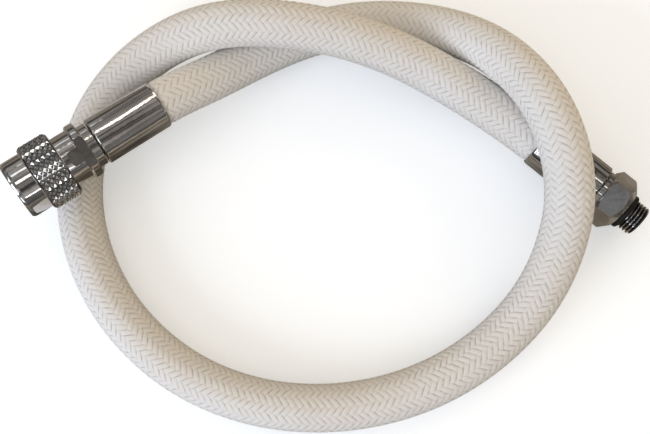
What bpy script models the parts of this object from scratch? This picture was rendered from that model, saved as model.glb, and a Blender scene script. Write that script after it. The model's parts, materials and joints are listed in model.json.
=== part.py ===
"""Low-pressure regulator hose, lying in an open loop on a table.

A white braided hose with a quick coupler crimped on one end and a threaded
port fitting crimped on the other. The coupler's sleeve slides back against its
spring to free the locking balls, and the valve pin inside it moves back when a
plug is pushed in. Metres, +Z up, origin on the table under the middle of the
two fittings.

Each fitting is modelled in its own frame: its free end is at the frame's
origin, +Z points out of that free end, and every distance written "back" runs
from there towards the hose.
"""

import math

import bmesh
import bpy
import numpy as np
from mathutils import Matrix, Vector

# Clearances
CLEARANCE = 0.0003
SEAL_CLEARANCE = 0.0001
SMALL_CHAMFER = 0.0003

# Where each ferrule's mouth is, and how its fitting points away from the hose
COUPLER_HEADING = 216.5
COUPLER_RISE = 10.6
COUPLER_ROLL = -23.5
PORT_HEADING = -40.5
PORT_RISE = -4.2
PORT_ROLL = 13.9

# The hose
HOSE_RADIUS = 0.0070
HOSE_BORE_RADIUS = 0.0032
HOSE_SQUEEZE = 0.0008
CRIMP_INSIDE = 0.0005
CRIMP_OUTSIDE = 0.0015
HOSE_STEP = 0.0115

# The centre of the hose, from the coupler's ferrule to the port's
ROUTE = (
    (-0.0504, 0.0164, 0.0189),
    (-0.0361, 0.0260, 0.0134),
    (-0.0216, 0.0354, 0.0084),
    (-0.0051, 0.0425, 0.0070),
    (0.0127, 0.0451, 0.0073),
    (0.0304, 0.0425, 0.0098),
    (0.0457, 0.0348, 0.0151),
    (0.0571, 0.0224, 0.0215),
    (0.0648, 0.0066, 0.0254),
    (0.0685, -0.0106, 0.0226),
    (0.0665, -0.0272, 0.0159),
    (0.0590, -0.0425, 0.0101),
    (0.0467, -0.0553, 0.0074),
    (0.0314, -0.0649, 0.0070),
    (0.0143, -0.0707, 0.0070),
    (-0.0036, -0.0727, 0.0070),
    (-0.0215, -0.0708, 0.0070),
    (-0.0385, -0.0648, 0.0070),
    (-0.0535, -0.0548, 0.0070),
    (-0.0656, -0.0414, 0.0070),
    (-0.0738, -0.0254, 0.0070),
    (-0.0774, -0.0077, 0.0070),
    (-0.0753, 0.0101, 0.0075),
    (-0.0661, 0.0252, 0.0105),
    (-0.0520, 0.0350, 0.0157),
    (-0.0353, 0.0397, 0.0206),
    (-0.0174, 0.0399, 0.0221),
    (0.0004, 0.0376, 0.0201),
    (0.0175, 0.0330, 0.0164),
    (0.0335, 0.0255, 0.0131),
    (0.0487, 0.0158, 0.0114),
    (0.0630, 0.0047, 0.0107),
)

# The crimped ferrules, the same on both ends
FERRULE_LENGTH = 0.0215
FERRULE_WALL = 0.0008
FERRULE_LIP = 0.0015
FERRULE_BEVEL = 0.0008
FERRULE_FLARE = 0.0006

# The barbed tail that each fitting pushes into the hose
TAIL_BORE_RADIUS = 0.0017
TAIL_STOP = 0.0020
BARB_HEIGHT = 0.0003
BARB_PITCH = 0.0024
BARB_COUNT = 5
FLANGE_RADIUS = 0.0058
FLANGE_THICKNESS = 0.0015
GROOVE_RADIUS = 0.0045

# The coupler's barrel, which takes the plug
PLUG_BORE_RADIUS = 0.0049
PLUG_BORE_DEPTH = 0.0115
BARREL_RADIUS = 0.0061
BARREL_SETBACK = 0.0007
SPIGOT_RADIUS = 0.0055
SPIGOT_LENGTH = 0.0037
WEB_BORE_RADIUS = 0.0032

# The ring that keeps the sleeve on
RING_STANDS_OUT = 0.00035
RING_DEPTH = 0.0017
RING_THICKNESS = 0.0008
RING_OPENING = 0.0015
RING_GROOVE = 0.0006

# The locking balls
BALL_COUNT = 6
BALL_RADIUS = 0.00125
BALL_BACK = 0.0070
BALL_CENTRE = 0.00535
BALL_TRAVEL = 0.0006
BALL_CLEARANCE = 0.00015
BALL_HOLE_CLEARANCE = 0.00005
BALL_HOLE_TAPER = 0.0003

# The sleeve
SLEEVE_LENGTH = 0.0157
SLEEVE_TRAVEL = 0.0040
SLEEVE_NOSE_LENGTH = 0.0063
SLEEVE_NOSE_WALL = 0.00085
SLEEVE_NOSE_ROUND = 0.00065
SLEEVE_GRIP_WALL = 0.0024
SLEEVE_CHAMFER = 0.0009
SLEEVE_LAND_LENGTH = 0.0010
NOTCH_WIDTH = 0.0014
NOTCH_DEPTH = 0.0014

# Springs and rings
SLEEVE_SPRING_WIRE = 0.0007
SLEEVE_SPRING_TURNS = 3.25
PLUG_RING_SECTION = 0.0012
PLUG_RING_BACK = 0.0103
PLUG_RING_STANDS_IN = 0.0006
STEM_RING_SECTION = 0.0009

# The stem that joins the barrel to the hose
CUP_RADIUS = 0.00765
CUP_DEPTH = 0.0049
CUP_LENGTH = 0.00615
COLLAR_GAP = 0.00105
COLLAR_RADIUS = 0.00865
COLLAR_LENGTH = 0.00295
COLLAR_ROUND = 0.0006
NECK_RADIUS = 0.00675
NECK_LENGTH = 0.0026
FLATS_ACROSS = 0.0146
FLATS_TURN = -4.0
FLATS_RUNOUT = 0.0035
FLATS_CORNER = 0.0045

# The valve in the stem
VALVE_RADIUS = 0.0024
VALVE_LENGTH = 0.0118
VALVE_FRONT_BORE = 0.0019
VALVE_FRONT_DEPTH = 0.0063
VALVE_SEAT_BORE = 0.0010
VALVE_STANDS_OUT = 0.0060
PIN_RADIUS = 0.0007
PIN_STANDS_OUT = 0.0019
PIN_TRAVEL = 0.0015
PIN_COLLAR_RADIUS = 0.0016
PIN_COLLAR_DEPTH = 0.0005
PIN_COLLAR_THICKNESS = 0.0006
PIN_DISC_RADIUS = 0.0019
PIN_DISC_THICKNESS = 0.0008
SEAL_THICKNESS = 0.0006
VALVE_SPRING_WIRE = 0.00035
VALVE_SPRING_TURNS = 6.0

# The port fitting
THREAD_RADIUS = 0.00476
THREAD_LENGTH = 0.0039
THREAD_CHAMFER = 0.0005
UNDERCUT_RADIUS = 0.0035
UNDERCUT_LENGTH = 0.00205
PORT_BORE_RADIUS = 0.0020
PORT_RING_SECTION = 0.00178
HEX_ACROSS = 0.0152
HEX_LENGTH = 0.0081
HEX_FRONT_CHAMFER = 0.00245
SEAT_RECESS = 0.0001
SEAT_LAND = 0.00042
HEX_BACK_CHAMFER = 0.00145
HEX_BACK_RADIUS = 0.0071
PORT_NECK_RADIUS = 0.0065
PORT_NECK_LENGTH = 0.00115

# Values that follow from the ones above
CRIMPED_RADIUS = HOSE_RADIUS - HOSE_SQUEEZE
FERRULE_BORE = CRIMPED_RADIUS + CLEARANCE
FERRULE_RADIUS = FERRULE_BORE + FERRULE_WALL
BARB_RADIUS = HOSE_BORE_RADIUS - CLEARANCE
TAIL_RADIUS = BARB_RADIUS - BARB_HEIGHT

# Stations along the coupler, back from the sleeve's nose
BARREL_WEB = BARREL_SETBACK + PLUG_BORE_DEPTH
LAND_RADIUS = BALL_CENTRE + BALL_RADIUS + BALL_CLEARANCE
RAMP_RADIUS = LAND_RADIUS + BALL_TRAVEL
RING_RADIUS = RAMP_RADIUS + RING_STANDS_OUT
SLEEVE_LIP_RADIUS = RING_RADIUS + CLEARANCE
SLEEVE_NOSE_RADIUS = SLEEVE_LIP_RADIUS + SLEEVE_NOSE_WALL
RAMP_START = BALL_BACK - SLEEVE_TRAVEL
SHOULDER_BACK = BALL_BACK + SLEEVE_LAND_LENGTH
COLLAR_START = SLEEVE_LENGTH + SLEEVE_TRAVEL + COLLAR_GAP
CUP_START = COLLAR_START - CUP_LENGTH
CUP_FLOOR = CUP_START + CUP_DEPTH
CUP_BORE = SPIGOT_RADIUS + CLEARANCE
BARREL_SHOULDER = CUP_START - CLEARANCE
BARREL_END = BARREL_SHOULDER + SPIGOT_LENGTH
NECK_START = COLLAR_START + COLLAR_LENGTH
NECK_END = NECK_START + NECK_LENGTH
SLEEVE_BORE = CUP_RADIUS + CLEARANCE
SLEEVE_GRIP_RADIUS = SLEEVE_BORE + SLEEVE_GRIP_WALL
VALVE_START = CUP_FLOOR - VALVE_STANDS_OUT
VALVE_END = VALVE_START + VALVE_LENGTH
VALVE_SHOULDER = VALVE_START + VALVE_FRONT_DEPTH
VALVE_BORE = VALVE_RADIUS + CLEARANCE
SEAL_START = VALVE_END + CLEARANCE
DISC_START = SEAL_START + SEAL_THICKNESS + CLEARANCE
PIN_END = DISC_START + PIN_DISC_THICKNESS
VALVE_BORE_END = PIN_END + PIN_TRAVEL + CLEARANCE
COUPLER_LENGTH = NECK_END + CLEARANCE + FERRULE_LENGTH

# Stations along the port fitting, back from the end of its thread
HEX_START = THREAD_LENGTH + UNDERCUT_LENGTH
HEX_END = HEX_START + HEX_LENGTH
PORT_NECK_END = HEX_END + PORT_NECK_LENGTH
PORT_LENGTH = PORT_NECK_END + CLEARANCE + FERRULE_LENGTH
PORT_RING_OUTSIDE = UNDERCUT_RADIUS + CLEARANCE + PORT_RING_SECTION
SEAT_RADIUS = PORT_RING_OUTSIDE + SEAL_CLEARANCE
HEX_FRONT_RADIUS = SEAT_RADIUS + SEAT_LAND


for old in list(bpy.data.objects):
    bpy.data.objects.remove(old, do_unlink=True)

parts = bpy.data.collections.new("regulator_hose")
cutters = bpy.data.collections.new("cutters")
bpy.context.scene.collection.children.link(parts)
bpy.context.scene.collection.children.link(cutters)


# Helpers


def surface(name, colour, roughness, metallic):
    """A new material for one piece."""
    material = bpy.data.materials.new(name)
    material.use_nodes = True
    shader = material.node_tree.nodes["Principled BSDF"]
    shader.inputs["Base Color"].default_value = (*colour, 1.0)
    shader.inputs["Roughness"].default_value = roughness
    shader.inputs["Metallic"].default_value = metallic
    return material


def chrome(name):
    return surface(name, (0.58, 0.56, 0.55), 0.12, 1.0)


def steel(name):
    return surface(name, (0.48, 0.47, 0.46), 0.25, 1.0)


def brass(name):
    return surface(name, (0.66, 0.48, 0.20), 0.30, 1.0)


def rubber(name):
    return surface(name, (0.02, 0.02, 0.02), 0.55, 0.0)


def place(obj, frame, material):
    """Puts a piece in the parts collection, on its fitting's frame."""
    for collection in list(obj.users_collection):
        collection.objects.unlink(obj)
    parts.objects.link(obj)
    obj.parent = frame
    obj.data.materials.clear()
    obj.data.materials.append(material)
    return obj


def as_cutter(obj, frame):
    """Puts a helper in the cutters collection, out of every render."""
    for collection in list(obj.users_collection):
        collection.objects.unlink(obj)
    cutters.objects.link(obj)
    obj.parent = frame
    obj.hide_render = True
    obj.display_type = "WIRE"
    return obj


def from_bmesh(name, bm):
    """A new object that holds a bmesh."""
    mesh = bpy.data.meshes.new(name)
    bm.to_mesh(mesh)
    bm.free()
    obj = bpy.data.objects.new(name, mesh)
    bpy.context.scene.collection.objects.link(obj)
    return obj


def turned(name, profile, steps, solid=False):
    """A shape turned from (radius, back) points: down its outer side, then up its inner side if it has a bore."""
    if solid:
        profile = [(0.0, profile[0][1]), *profile, (0.0, profile[-1][1])]
    bm = bmesh.new()
    verts = [bm.verts.new((radius, 0.0, -back)) for radius, back in profile]
    following = verts[1:] if solid else verts[1:] + verts[:1]
    for first, second in zip(verts, following):
        bm.edges.new((first, second))
    obj = from_bmesh(name, bm)
    screw = obj.modifiers.new("Turn", "SCREW")
    screw.axis = "Z"
    screw.steps = steps
    screw.render_steps = steps
    screw.use_merge_vertices = True
    screw.merge_threshold = 0.00001
    return obj


def box_cutter(name, size, middle, frame):
    """A box that cuts, placed by its size and middle."""
    bm = bmesh.new()
    bmesh.ops.create_cube(bm, size=1.0)
    bmesh.ops.scale(bm, vec=size, verts=bm.verts)
    bmesh.ops.translate(bm, vec=middle, verts=bm.verts)
    return as_cutter(from_bmesh(name, bm), frame)


def boolean(obj, other, operation):
    """One Boolean of a piece with a helper."""
    modifier = obj.modifiers.new(other.name, "BOOLEAN")
    modifier.operation = operation
    modifier.solver = "EXACT"
    modifier.object = other


def settle(obj, sharp=32.0):
    """Applies the modifiers, and shades the round faces smooth up to the sharp edges."""
    bpy.context.view_layer.update()
    evaluated = obj.evaluated_get(bpy.context.evaluated_depsgraph_get())
    mesh = bpy.data.meshes.new_from_object(evaluated)
    bm = bmesh.new()
    bm.from_mesh(mesh)
    bmesh.ops.remove_doubles(bm, verts=bm.verts, dist=0.000001)
    bm.to_mesh(mesh)
    bm.free()
    obj.modifiers.clear()
    obj.data = mesh
    mesh.name = obj.name
    mesh.shade_smooth()
    mesh.set_sharp_from_angle(angle=math.radians(sharp))
    return obj


def torus(name, ring_radius, section, back):
    """A round-section ring, centred on the fitting's axis."""
    bpy.ops.mesh.primitive_torus_add(
        major_radius=ring_radius,
        minor_radius=section / 2,
        major_segments=24,
        minor_segments=6,
    )
    obj = bpy.context.object
    obj.name = name
    obj.location = (0.0, 0.0, -back)
    obj.data.shade_smooth()
    return obj


def wire(name, points, thickness, resolution, swell=None):
    """A round wire or tube along points, with closed ends."""
    curve = bpy.data.curves.new(name, "CURVE")
    curve.dimensions = "3D"
    curve.bevel_depth = thickness
    curve.bevel_resolution = resolution
    curve.use_fill_caps = True
    spline = curve.splines.new("POLY")
    spline.points.add(len(points) - 1)
    for index, point in enumerate(points):
        spline.points[index].co = (*point, 1.0)
        spline.points[index].radius = 1.0 if swell is None else swell[index]
    obj = bpy.data.objects.new(name, curve)
    bpy.context.scene.collection.objects.link(obj)
    return obj


def to_mesh(obj):
    """The mesh object that takes the place of a curve, with its end caps welded on."""
    bpy.context.view_layer.update()
    evaluated = obj.evaluated_get(bpy.context.evaluated_depsgraph_get())
    mesh = bpy.data.meshes.new_from_object(evaluated)
    bm = bmesh.new()
    bm.from_mesh(mesh)
    bmesh.ops.remove_doubles(bm, verts=bm.verts, dist=0.000001)
    bm.to_mesh(mesh)
    bm.free()
    name = obj.name
    solid = bpy.data.objects.new(name, mesh)
    solid.matrix_world = obj.matrix_world
    bpy.context.scene.collection.objects.link(solid)
    bpy.data.objects.remove(obj, do_unlink=True)
    solid.name = name
    return solid


def coil(name, coil_radius, thickness, front, back, turns, per_turn):
    """A compression spring between two faces, with its end turns laid closer."""
    count = int(turns * per_turn) + 1
    rise = back - front - thickness - 2 * SEAL_CLEARANCE
    points = []
    for index in range(count):
        share = index / (count - 1)
        along = share - 0.4 * math.sin(2 * math.pi * share) / (2 * math.pi)
        angle = 2 * math.pi * turns * share
        at = front + SEAL_CLEARANCE + thickness / 2 + rise * along
        points.append((coil_radius * math.cos(angle), coil_radius * math.sin(angle), -at))
    return wire(name, points, thickness / 2, 2)


def hose_tail(neck_end):
    """Outer profile of the groove, flange and barbs that hold the ferrule and the hose."""
    groove_end = neck_end + FERRULE_LIP + 2 * CLEARANCE
    flange_end = groove_end + FLANGE_THICKNESS
    tail_end = neck_end + CLEARANCE + FERRULE_LENGTH - TAIL_STOP
    points = [
        (GROOVE_RADIUS, neck_end),
        (GROOVE_RADIUS, groove_end),
        (FLANGE_RADIUS, groove_end),
        (FLANGE_RADIUS, flange_end),
        (TAIL_RADIUS, flange_end),
    ]
    for index in range(BARB_COUNT):
        start = tail_end - (BARB_COUNT - index) * BARB_PITCH
        points += [(TAIL_RADIUS, start), (BARB_RADIUS, start)]
    points += [(TAIL_RADIUS, tail_end), (TAIL_BORE_RADIUS, tail_end)]
    return points


def ferrule(name, frame, front):
    """The crimped sleeve: a lip that hooks behind the neck, a bevelled rim and a flared mouth."""
    lip_radius = GROOVE_RADIUS + CLEARANCE
    end = front + FERRULE_LENGTH
    obj = turned(
        name,
        [
            (FERRULE_RADIUS - FERRULE_BEVEL, front),
            (FERRULE_RADIUS, front + 0.6 * FERRULE_BEVEL),
            (FERRULE_RADIUS, end - FERRULE_FLARE),
            (FERRULE_RADIUS - 0.3 * FERRULE_FLARE, end - 0.2 * FERRULE_FLARE),
            (FERRULE_RADIUS - 0.5 * FERRULE_FLARE, end),
            (FERRULE_BORE + 0.4 * FERRULE_FLARE, end),
            (FERRULE_BORE, end - FERRULE_FLARE),
            (FERRULE_BORE, front + FERRULE_LIP),
            (lip_radius, front + FERRULE_LIP),
            (lip_radius, front),
        ],
        32,
    )
    return settle(place(obj, frame, chrome(name)))


def fitting_frame(name, mouth, heading, rise, roll, length):
    """An empty at a fitting's free end. Returns it with the direction that the fitting points."""
    turn = Matrix.Rotation(math.radians(heading), 4, "Z")
    turn = turn @ Matrix.Rotation(math.radians(90.0 - rise), 4, "Y")
    turn = turn @ Matrix.Rotation(math.radians(180.0 + roll), 4, "Z")
    axis = turn @ Vector((0.0, 0.0, 1.0))
    empty = bpy.data.objects.new(name, None)
    empty.empty_display_size = 0.005
    parts.objects.link(empty)
    empty.matrix_world = Matrix.Translation(Vector(mouth) + axis * length) @ turn
    return empty, axis


def smooth_route(points, first_direction, last_direction, step):
    """Points at even steps on the smooth curve through the given points, with its end directions set."""
    points = np.array(points)
    gaps = np.linalg.norm(np.diff(points, axis=0), axis=1)
    count = len(points)
    rows = np.eye(count)
    right = np.zeros((count, 3))
    right[0] = first_direction
    right[-1] = last_direction
    for i in range(1, count - 1):
        before, after = 1 / gaps[i - 1], 1 / gaps[i]
        rows[i, i - 1:i + 2] = before, 2 * (before + after), after
        right[i] = 3 * (before**2 * (points[i] - points[i - 1]) + after**2 * (points[i + 1] - points[i]))
    slopes = np.linalg.solve(rows, right)
    starts = np.concatenate([[0.0], np.cumsum(gaps)])
    pieces = round(starts[-1] / step)
    result = []
    for at in np.linspace(0.0, starts[-1], pieces + 1):
        i = min(int(np.searchsorted(starts, at, side="right")) - 1, count - 2)
        t = (at - starts[i]) / gaps[i]
        result.append(
            (2 * t**3 - 3 * t**2 + 1) * points[i]
            + (t**3 - 2 * t**2 + t) * gaps[i] * slopes[i]
            + (3 * t**2 - 2 * t**3) * points[i + 1]
            + (t**3 - t**2) * gaps[i] * slopes[i + 1]
        )
    return result


coupler_frame, coupler_axis = fitting_frame(
    "coupler_frame", ROUTE[0], COUPLER_HEADING, COUPLER_RISE, COUPLER_ROLL, COUPLER_LENGTH
)
port_frame, port_axis = fitting_frame(
    "port_frame", ROUTE[-1], PORT_HEADING, PORT_RISE, PORT_ROLL, PORT_LENGTH
)


# The hose, squeezed inside both ferrules and bored to take the barbed tails

ferrule_depth = FERRULE_LENGTH - FERRULE_LIP - FLANGE_THICKNESS - 2 * CLEARANCE
route = smooth_route(ROUTE, -coupler_axis, port_axis, HOSE_STEP)
coupler_mouth, port_mouth = np.array(ROUTE[0]), np.array(ROUTE[-1])
into_coupler, into_port = np.array(coupler_axis), np.array(port_axis)


def hose_line(extra, radius, crimped):
    """Centre points and their radii from inside one ferrule to inside the other."""
    deep = ferrule_depth - CLEARANCE + extra
    points = [coupler_mouth + into_coupler * deep, coupler_mouth + into_coupler * CRIMP_INSIDE]
    points += [coupler_mouth - into_coupler * CRIMP_OUTSIDE]
    points += route[1:-1]
    points += [port_mouth - into_port * CRIMP_OUTSIDE]
    points += [port_mouth + into_port * CRIMP_INSIDE, port_mouth + into_port * deep]
    radii = [crimped] * 2 + [radius] * (len(points) - 4) + [crimped] * 2
    return points, [value / radius for value in radii]


hose_points, hose_swell = hose_line(0.0, HOSE_RADIUS, CRIMPED_RADIUS)
hose = to_mesh(wire("braided_hose", hose_points, HOSE_RADIUS, 4, hose_swell))
bore_points, bore_swell = hose_line(0.001, HOSE_BORE_RADIUS, HOSE_BORE_RADIUS)
hose_bore = as_cutter(to_mesh(wire("hose_bore", bore_points, HOSE_BORE_RADIUS, 3, bore_swell)), None)
place(hose, None, surface("braided_hose", (0.78, 0.77, 0.74), 0.75, 0.0))
boolean(hose, hose_bore, "DIFFERENCE")
settle(hose, 50.0)


# Ferrules

ferrule("coupler_ferrule", coupler_frame, NECK_END + CLEARANCE)
ferrule("port_ferrule", port_frame, PORT_NECK_END + CLEARANCE)


# The coupler's stem: a cup for the barrel, a collar with two spanner flats, a neck and the tail

stem = turned(
    "hose_stem",
    [
        (CUP_RADIUS - SMALL_CHAMFER, CUP_START),
        (CUP_RADIUS, CUP_START + SMALL_CHAMFER),
        (CUP_RADIUS, COLLAR_START),
        (COLLAR_RADIUS - COLLAR_ROUND, COLLAR_START),
        (COLLAR_RADIUS - 0.3 * COLLAR_ROUND, COLLAR_START + 0.3 * COLLAR_ROUND),
        (COLLAR_RADIUS, COLLAR_START + COLLAR_ROUND),
        (COLLAR_RADIUS, NECK_START - COLLAR_ROUND),
        (COLLAR_RADIUS - 0.3 * COLLAR_ROUND, NECK_START - 0.3 * COLLAR_ROUND),
        (COLLAR_RADIUS - COLLAR_ROUND, NECK_START),
        (NECK_RADIUS, NECK_START),
        (NECK_RADIUS, NECK_END),
    ]
    + hose_tail(NECK_END)
    + [
        (TAIL_BORE_RADIUS, VALVE_BORE_END),
        (VALVE_BORE, VALVE_BORE_END),
        (VALVE_BORE, CUP_FLOOR),
        (CUP_BORE, CUP_FLOOR),
        (CUP_BORE, CUP_START),
    ],
    28,
)
runout_start = COLLAR_START - FLATS_RUNOUT
flat_length = NECK_START + CLEARANCE - runout_start
flat_depth = COLLAR_RADIUS - FLATS_ACROSS / 2 + 0.001
for side in (1, -1):
    bm = bmesh.new()
    bmesh.ops.create_cube(bm, size=1.0)
    bmesh.ops.scale(bm, vec=(flat_depth, 2.18 * FLATS_CORNER, flat_length), verts=bm.verts)
    front_edges = [
        edge for edge in bm.edges
        if all(vert.co.z > 0 for vert in edge.verts) and edge.verts[0].co.y * edge.verts[1].co.y > 0
    ]
    bmesh.ops.bevel(bm, geom=front_edges, offset=FLATS_CORNER, segments=5, affect="EDGES", profile=0.5)
    middle = (side * (FLATS_ACROSS / 2 + flat_depth / 2), 0.0, -(runout_start + flat_length / 2))
    bmesh.ops.translate(bm, vec=middle, verts=bm.verts)
    flats_turn = Matrix.Rotation(math.radians(FLATS_TURN), 3, "Z")
    bmesh.ops.rotate(bm, cent=(0.0, 0.0, 0.0), matrix=flats_turn, verts=bm.verts)
    boolean(stem, as_cutter(from_bmesh("flat_cutter", bm), coupler_frame), "DIFFERENCE")
place(stem, coupler_frame, chrome("hose_stem"))
settle(stem)


# The barrel, with a groove for its sealing ring, a groove for the sleeve's ring and six ball holes

ring_groove_radius = BARREL_RADIUS - RING_GROOVE
groove_radius = PLUG_BORE_RADIUS - PLUG_RING_STANDS_IN + PLUG_RING_SECTION + SEAL_CLEARANCE
groove_half = PLUG_RING_SECTION / 2 + CLEARANCE
barrel = turned(
    "coupler_barrel",
    [
        (BARREL_RADIUS - SMALL_CHAMFER, BARREL_SETBACK),
        (BARREL_RADIUS, BARREL_SETBACK + SMALL_CHAMFER),
        (BARREL_RADIUS, RING_DEPTH - CLEARANCE),
        (ring_groove_radius, RING_DEPTH - CLEARANCE),
        (ring_groove_radius, RING_DEPTH + RING_THICKNESS + CLEARANCE),
        (BARREL_RADIUS, RING_DEPTH + RING_THICKNESS + CLEARANCE),
        (BARREL_RADIUS, BARREL_SHOULDER),
        (SPIGOT_RADIUS, BARREL_SHOULDER),
        (SPIGOT_RADIUS, BARREL_END),
        (WEB_BORE_RADIUS, BARREL_END),
        (WEB_BORE_RADIUS, BARREL_WEB),
        (PLUG_BORE_RADIUS, BARREL_WEB),
        (PLUG_BORE_RADIUS, PLUG_RING_BACK + groove_half),
        (groove_radius, PLUG_RING_BACK + groove_half),
        (groove_radius, PLUG_RING_BACK - groove_half),
        (PLUG_BORE_RADIUS, PLUG_RING_BACK - groove_half),
        (PLUG_BORE_RADIUS, BARREL_SETBACK + SMALL_CHAMFER),
        (PLUG_BORE_RADIUS + SMALL_CHAMFER, BARREL_SETBACK),
    ],
    30,
)
wall = BARREL_RADIUS - PLUG_BORE_RADIUS
for index in range(BALL_COUNT):
    angle = 2 * math.pi * (index + 0.5) / BALL_COUNT
    bm = bmesh.new()
    bmesh.ops.create_cone(
        bm,
        cap_ends=True,
        segments=16,
        radius1=BALL_RADIUS + BALL_HOLE_CLEARANCE - BALL_HOLE_TAPER,
        radius2=BALL_RADIUS + BALL_HOLE_CLEARANCE + BALL_HOLE_TAPER,
        depth=2.5 * wall,
    )
    hole = from_bmesh("ball_hole", bm)
    middle = (BARREL_RADIUS + PLUG_BORE_RADIUS) / 2
    hole.location = (middle * math.cos(angle), middle * math.sin(angle), -BALL_BACK)
    hole.rotation_euler = (0.0, math.pi / 2, angle)
    boolean(barrel, as_cutter(hole, coupler_frame), "DIFFERENCE")
place(barrel, coupler_frame, chrome("coupler_barrel"))
settle(barrel)


# The locking balls, each free to move straight out from the axis

for index in range(BALL_COUNT):
    angle = 2 * math.pi * (index + 0.5) / BALL_COUNT
    bm = bmesh.new()
    bmesh.ops.create_uvsphere(bm, u_segments=12, v_segments=8, radius=BALL_RADIUS)
    name = f"locking_ball_{index + 1}"
    ball = from_bmesh(name, bm)
    ball.data.shade_smooth()
    ball.location = (BALL_CENTRE * math.cos(angle), BALL_CENTRE * math.sin(angle), -BALL_BACK)
    ball.rotation_euler = (0.0, 0.0, angle)
    place(ball, coupler_frame, steel(name))


# The knurled sleeve: its land holds the balls in, and its ramp lets them out when it is drawn back

sleeve = turned(
    "knurled_sleeve",
    [
        (SLEEVE_NOSE_RADIUS - SLEEVE_NOSE_ROUND, 0.0),
        (SLEEVE_NOSE_RADIUS - 0.54 * SLEEVE_NOSE_ROUND, 0.31 * SLEEVE_NOSE_ROUND),
        (SLEEVE_NOSE_RADIUS - 0.15 * SLEEVE_NOSE_ROUND, 1.08 * SLEEVE_NOSE_ROUND),
        (SLEEVE_NOSE_RADIUS, 2.15 * SLEEVE_NOSE_ROUND),
        (SLEEVE_NOSE_RADIUS, SLEEVE_NOSE_LENGTH),
        (SLEEVE_GRIP_RADIUS - SLEEVE_CHAMFER, SLEEVE_NOSE_LENGTH),
        (SLEEVE_GRIP_RADIUS, SLEEVE_NOSE_LENGTH + SLEEVE_CHAMFER),
        (SLEEVE_GRIP_RADIUS, SLEEVE_LENGTH - SLEEVE_CHAMFER),
        (SLEEVE_GRIP_RADIUS - SLEEVE_CHAMFER, SLEEVE_LENGTH),
        (SLEEVE_BORE, SLEEVE_LENGTH),
        (SLEEVE_BORE, SHOULDER_BACK),
        (LAND_RADIUS, SHOULDER_BACK),
        (LAND_RADIUS, BALL_BACK),
        (RAMP_RADIUS, RAMP_START),
        (RAMP_RADIUS, RING_DEPTH + RING_THICKNESS + CLEARANCE),
        (SLEEVE_LIP_RADIUS, RING_DEPTH + RING_THICKNESS + CLEARANCE),
        (SLEEVE_LIP_RADIUS, 0.0),
    ],
    40,
)
notch_size = (4 * SLEEVE_GRIP_RADIUS, NOTCH_WIDTH, 2 * NOTCH_DEPTH)
notches = box_cutter("notch_cutter", notch_size, (0.0, 0.0, 0.0), coupler_frame)
boolean(sleeve, notches, "DIFFERENCE")
place(sleeve, coupler_frame, chrome("knurled_sleeve"))
settle(sleeve)


# The open ring in the barrel's front groove, which stops the sleeve

ring = turned(
    "sleeve_retaining_ring",
    [
        (RING_RADIUS, RING_DEPTH),
        (RING_RADIUS, RING_DEPTH + RING_THICKNESS),
        (ring_groove_radius + CLEARANCE, RING_DEPTH + RING_THICKNESS),
        (ring_groove_radius + CLEARANCE, RING_DEPTH),
    ],
    32,
)
opening_size = (RING_OPENING, 2 * RING_RADIUS, 4 * RING_THICKNESS)
opening = box_cutter("ring_opening", opening_size, (0.0, RING_RADIUS, -RING_DEPTH), coupler_frame)
boolean(ring, opening, "DIFFERENCE")
place(ring, coupler_frame, steel("sleeve_retaining_ring"))
settle(ring)


# Springs and sealing rings of the coupler

spring = coil(
    "sleeve_spring",
    (BARREL_RADIUS + SLEEVE_BORE) / 2,
    SLEEVE_SPRING_WIRE,
    SHOULDER_BACK,
    CUP_START,
    SLEEVE_SPRING_TURNS,
    12,
)
place(spring, coupler_frame, steel("sleeve_spring"))

plug_ring = torus(
    "plug_o_ring",
    PLUG_BORE_RADIUS - PLUG_RING_STANDS_IN + PLUG_RING_SECTION / 2,
    PLUG_RING_SECTION,
    PLUG_RING_BACK,
)
place(plug_ring, coupler_frame, rubber("plug_o_ring"))

stem_ring = torus(
    "stem_o_ring",
    (SPIGOT_RADIUS + WEB_BORE_RADIUS) / 2,
    STEM_RING_SECTION,
    (BARREL_END + CUP_FLOOR) / 2,
)
place(stem_ring, coupler_frame, rubber("stem_o_ring"))


# The valve: a core in the stem, a spring-loaded pin through it and a seal that the pin pulls shut

core = turned(
    "valve_core",
    [
        (VALVE_RADIUS, VALVE_START),
        (VALVE_RADIUS, VALVE_END),
        (VALVE_SEAT_BORE, VALVE_END),
        (VALVE_SEAT_BORE, VALVE_SHOULDER),
        (VALVE_FRONT_BORE, VALVE_SHOULDER),
        (VALVE_FRONT_BORE, VALVE_START),
    ],
    24,
)
settle(place(core, coupler_frame, brass("valve_core")))

collar_start = VALVE_START + PIN_COLLAR_DEPTH
pin = turned(
    "valve_pin",
    [
        (PIN_RADIUS, VALVE_START - PIN_STANDS_OUT),
        (PIN_RADIUS, collar_start),
        (PIN_COLLAR_RADIUS, collar_start),
        (PIN_COLLAR_RADIUS, collar_start + PIN_COLLAR_THICKNESS),
        (PIN_RADIUS, collar_start + PIN_COLLAR_THICKNESS),
        (PIN_RADIUS, DISC_START),
        (PIN_DISC_RADIUS, DISC_START),
        (PIN_DISC_RADIUS, PIN_END),
    ],
    16,
    solid=True,
)
settle(place(pin, coupler_frame, brass("valve_pin")))

seal = turned(
    "valve_seal",
    [
        (PIN_DISC_RADIUS, SEAL_START),
        (PIN_DISC_RADIUS, SEAL_START + SEAL_THICKNESS),
        (PIN_RADIUS + CLEARANCE, SEAL_START + SEAL_THICKNESS),
        (PIN_RADIUS + CLEARANCE, SEAL_START),
    ],
    20,
)
settle(place(seal, coupler_frame, rubber("valve_seal")))

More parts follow.
